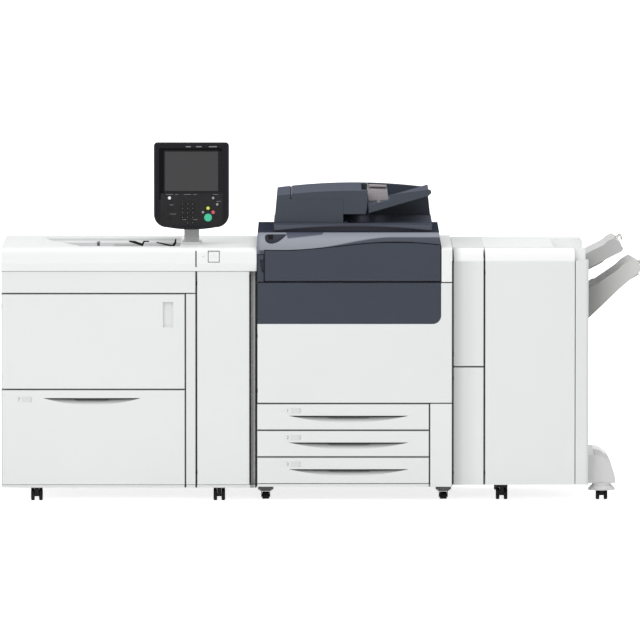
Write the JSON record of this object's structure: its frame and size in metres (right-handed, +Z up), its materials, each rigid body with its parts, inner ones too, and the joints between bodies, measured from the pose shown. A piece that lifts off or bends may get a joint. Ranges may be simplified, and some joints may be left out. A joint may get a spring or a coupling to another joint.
{
  "type": "multifunction printer",
  "caption": "Floor-standing production printer line: paper feeder, relay, engine with scanner and document feeder, interface and finisher with output trays, on casters.",
  "frame": {"origin": "middle of the bounding box on the floor", "axes": "+X to the right along the line, +Y from the front to the back, +Z up"},
  "size_m": [2.52, 0.787, 1.392],
  "materials": {
    "panel_white": "fine-grained light grey-white",
    "worktop_white": "fine-grained white",
    "plate_metal": "brushed plate",
    "black_plastic": "satin black",
    "frame_grey": "satin grey",
    "dark_inner": "satin dark grey",
    "lever_green": "satin green",
    "slate": "fine-grained slate",
    "gloss_slate": "glossy slate",
    "glass": "clear glass",
    "guide_grey": "satin warm grey",
    "post_grey": "satin grey",
    "panel_dark": "satin near-black",
    "screen": "dark glossy screen",
    "button_green": "satin green",
    "button_red": "satin red",
    "button_yellow": "satin yellow",
    "key_grey": "matt dark mat with grey keys",
    "tray_grey": "satin warm grey",
    "tyre_black": "matt black"
  },
  "bodies": {
    "line": {"feeder_cabinet": "panel_white", "feeder_band": "panel_white", "worktop": "worktop_white", "relay_cabinet": "panel_white", "engine_frame": "frame_grey", "engine_covers": "worktop_white", "engine_rear_cover": "panel_white", "engine_inner_cover": "dark_inner", "left_trim": "slate", "toner_bottles": "black_plastic", "scanner_body": "gloss_slate", "platen_glass": "glass", "panel_post": "post_grey", "interface_cabinet": "panel_white", "finisher_cabinet": "panel_white", "finisher_top_cover": "worktop_white", "upper_tray": "tray_grey", "booklet_hood": "panel_white", "caster_forks": "black_plastic"},
    "feeder_door": {"feeder_door": "panel_white"},
    "feeder_drawer": {"feeder_drawer": "panel_white"},
    "lift_plate": {"lift_plate": "plate_metal"},
    "relay_door": {"relay_door": "panel_white"},
    "toner_cover": {"toner_cover": "slate"},
    "paper_tray_1": {"paper_tray_1": "worktop_white"},
    "paper_tray_2": {"paper_tray_2": "worktop_white"},
    "paper_tray_3": {"paper_tray_3": "worktop_white"},
    "release_lever": {"release_lever": "lever_green"},
    "power_switch": {"power_switch": "black_plastic"},
    "bypass_guide_front": {"bypass_guide_front": "black_plastic"},
    "bypass_guide_rear": {"bypass_guide_rear": "black_plastic"},
    "document_feeder_cover": {"document_feeder_cover": "slate"},
    "document_guide_front": {"document_guide_front": "guide_grey"},
    "document_guide_rear": {"document_guide_rear": "guide_grey"},
    "start_button": {"start_button": "button_green"},
    "stop_button": {"stop_button": "button_red"},
    "clear_button": {"clear_button": "button_yellow"},
    "interface_upper_door": {"interface_upper_door": "worktop_white"},
    "interface_lower_door": {"interface_lower_door": "worktop_white"},
    "finisher_door": {"finisher_door": "worktop_white"},
    "stacker_tray": {"stacker_tray": "tray_grey"},
    "front_door": {"front_door": "worktop_white", "front_door_panel": "slate"},
    "document_feeder": {"document_feeder": "slate", "document_tray": "slate"},
    "control_panel": {"panel_housing": "panel_dark", "touch_screen": "screen", "keypad": "key_grey"},
    "wheel_1": {"wheel_1": "tyre_black"},
    "wheel_2": {"wheel_2": "tyre_black"},
    "wheel_3": {"wheel_3": "tyre_black"},
    "wheel_4": {"wheel_4": "tyre_black"},
    "wheel_5": {"wheel_5": "tyre_black"},
    "wheel_6": {"wheel_6": "tyre_black"},
    "wheel_7": {"wheel_7": "tyre_black"},
    "wheel_8": {"wheel_8": "tyre_black"},
    "wheel_9": {"wheel_9": "tyre_black"},
    "wheel_10": {"wheel_10": "tyre_black"},
    "wheel_11": {"wheel_11": "tyre_black"},
    "wheel_12": {"wheel_12": "tyre_black"}
  },
  "joints": [
    {"name": "feeder_door_swing", "type": "hinge", "parent": "line", "child": "feeder_door", "pos_m": [-1.2485, -0.3695, 0.624], "axis": [0, 0, -1], "range_deg": [0, 90]},
    {"name": "feeder_drawer_slide", "type": "slide", "parent": "line", "child": "feeder_drawer", "axis": [0, -1, 0], "range_m": [0, 0.5]},
    {"name": "lift_plate_rise", "type": "slide", "parent": "feeder_drawer", "child": "lift_plate", "axis": [0, 0, 1], "range_m": [0, 0.3]},
    {"name": "relay_door_swing", "type": "hinge", "parent": "line", "child": "relay_door", "pos_m": [-0.4875, -0.3695, 0.481], "axis": [0, 0, -1], "range_deg": [0, 90]},
    {"name": "front_door_swing", "type": "hinge", "parent": "line", "child": "front_door", "pos_m": [-0.2515, -0.3835, 0.62], "axis": [0, 0, -1], "range_deg": [0, 90]},
    {"name": "toner_cover_tilt", "type": "hinge", "parent": "line", "child": "toner_cover", "pos_m": [0.112, -0.3835, 0.8686], "axis": [1, 0, 0], "range_deg": [0, 90]},
    {"name": "paper_tray_1_slide", "type": "slide", "parent": "line", "child": "paper_tray_1", "axis": [0, -1, 0], "range_m": [0, 0.46]},
    {"name": "paper_tray_2_slide", "type": "slide", "parent": "line", "child": "paper_tray_2", "axis": [0, -1, 0], "range_m": [0, 0.46]},
    {"name": "paper_tray_3_slide", "type": "slide", "parent": "line", "child": "paper_tray_3", "axis": [0, -1, 0], "range_m": [0, 0.46]},
    {"name": "release_lever_turn", "type": "hinge", "parent": "line", "child": "release_lever", "pos_m": [-0.0335, -0.34154, 0.6438], "axis": [0, 1, 0], "range_deg": [0, 75]},
    {"name": "document_feeder_tilt", "type": "hinge", "parent": "line", "child": "document_feeder", "pos_m": [0.095, 0.29, 1.0435], "axis": [-1, 0, 0], "range_deg": [0, 60]},
    {"name": "document_feeder_cover_tilt", "type": "hinge", "parent": "document_feeder", "child": "document_feeder_cover", "pos_m": [-0.121, 0.0027, 1.18578], "axis": [0, -1, 0], "range_deg": [0, 70]},
    {"name": "document_guide_front_slide", "type": "slide", "parent": "document_feeder", "child": "document_guide_front", "axis": [0, 1, 0], "range_m": [0, 0.08]},
    {"name": "document_guide_rear_slide", "type": "slide", "parent": "document_feeder", "child": "document_guide_rear", "axis": [0, 1, 0], "range_m": [-0.08, 0]},
    {"name": "bypass_guide_front_slide", "type": "slide", "parent": "line", "child": "bypass_guide_front", "axis": [0, 1, 0], "range_m": [0, 0.09]},
    {"name": "bypass_guide_rear_slide", "type": "slide", "parent": "line", "child": "bypass_guide_rear", "axis": [0, 1, 0], "range_m": [-0.09, 0]},
    {"name": "control_panel_tilt", "type": "hinge", "parent": "line", "child": "control_panel", "pos_m": [-0.51879, -0.1355, 1.20445], "axis": [-1, 0, 0], "range_deg": [0, 25]},
    {"name": "start_button_press", "type": "slide", "parent": "control_panel", "child": "start_button", "axis": [0, 1, 0], "range_m": [0, 0.002], "stiffness_N_per_m": 350},
    {"name": "stop_button_press", "type": "slide", "parent": "control_panel", "child": "stop_button", "axis": [0, 1, 0], "range_m": [0, 0.002], "stiffness_N_per_m": 250},
    {"name": "clear_button_press", "type": "slide", "parent": "control_panel", "child": "clear_button", "axis": [0, 1, 0], "range_m": [0, 0.002], "stiffness_N_per_m": 250},
    {"name": "power_switch_press", "type": "slide", "parent": "line", "child": "power_switch", "axis": [0, 1, 0], "range_m": [0, 0.0015], "stiffness_N_per_m": 500},
    {"name": "interface_upper_door_swing", "type": "hinge", "parent": "line", "child": "interface_upper_door", "pos_m": [0.5135, -0.3835, 0.76], "axis": [0, 0, -1], "range_deg": [0, 90]},
    {"name": "interface_lower_door_swing", "type": "hinge", "parent": "line", "child": "interface_lower_door", "pos_m": [0.5135, -0.3835, 0.295], "axis": [0, 0, -1], "range_deg": [0, 90]},
    {"name": "finisher_door_swing", "type": "hinge", "parent": "line", "child": "finisher_door", "pos_m": [0.6365, -0.3835, 0.527], "axis": [0, 0, -1], "range_deg": [0, 90]},
    {"name": "stacker_tray_drop", "type": "slide", "parent": "line", "child": "stacker_tray", "axis": [0, 0, -1], "range_m": [0, 0.44]},
    {"name": "wheel_1_roll", "type": "hinge", "parent": "line", "child": "wheel_1", "pos_m": [-1.122, -0.3495, 0.0235], "axis": [1, 0, 0], "continuous": true},
    {"name": "wheel_2_roll", "type": "hinge", "parent": "line", "child": "wheel_2", "pos_m": [-1.122, 0.3245, 0.0235], "axis": [1, 0, 0], "continuous": true},
    {"name": "wheel_3_roll", "type": "hinge", "parent": "line", "child": "wheel_3", "pos_m": [-0.409, -0.3495, 0.0235], "axis": [1, 0, 0], "continuous": true},
    {"name": "wheel_4_roll", "type": "hinge", "parent": "line", "child": "wheel_4", "pos_m": [-0.409, 0.3245, 0.0235], "axis": [1, 0, 0], "continuous": true},
    {"name": "wheel_5_roll", "type": "hinge", "parent": "line", "child": "wheel_5", "pos_m": [-0.228, -0.2835, 0.0145], "axis": [1, 0, 0], "continuous": true},
    {"name": "wheel_6_roll", "type": "hinge", "parent": "line", "child": "wheel_6", "pos_m": [-0.228, 0.2835, 0.0145], "axis": [1, 0, 0], "continuous": true},
    {"name": "wheel_7_roll", "type": "hinge", "parent": "line", "child": "wheel_7", "pos_m": [0.467, -0.2835, 0.0145], "axis": [1, 0, 0], "continuous": true},
    {"name": "wheel_8_roll", "type": "hinge", "parent": "line", "child": "wheel_8", "pos_m": [0.467, 0.2835, 0.0145], "axis": [1, 0, 0], "continuous": true},
    {"name": "wheel_9_roll", "type": "hinge", "parent": "line", "child": "wheel_9", "pos_m": [0.695, -0.3035, 0.0235], "axis": [1, 0, 0], "continuous": true},
    {"name": "wheel_10_roll", "type": "hinge", "parent": "line", "child": "wheel_10", "pos_m": [0.695, 0.1165, 0.0235], "axis": [1, 0, 0], "continuous": true},
    {"name": "wheel_11_roll", "type": "hinge", "parent": "line", "child": "wheel_11", "pos_m": [1.086, -0.3035, 0.0235], "axis": [1, 0, 0], "continuous": true},
    {"name": "wheel_12_roll", "type": "hinge", "parent": "line", "child": "wheel_12", "pos_m": [1.086, 0.1165, 0.0235], "axis": [1, 0, 0], "continuous": true}
  ],
  "couplings": [
    {"joint": "document_guide_rear_slide", "follows": "document_guide_front_slide", "ratio": -1},
    {"joint": "bypass_guide_rear_slide", "follows": "bypass_guide_front_slide", "ratio": -1}
  ]
}
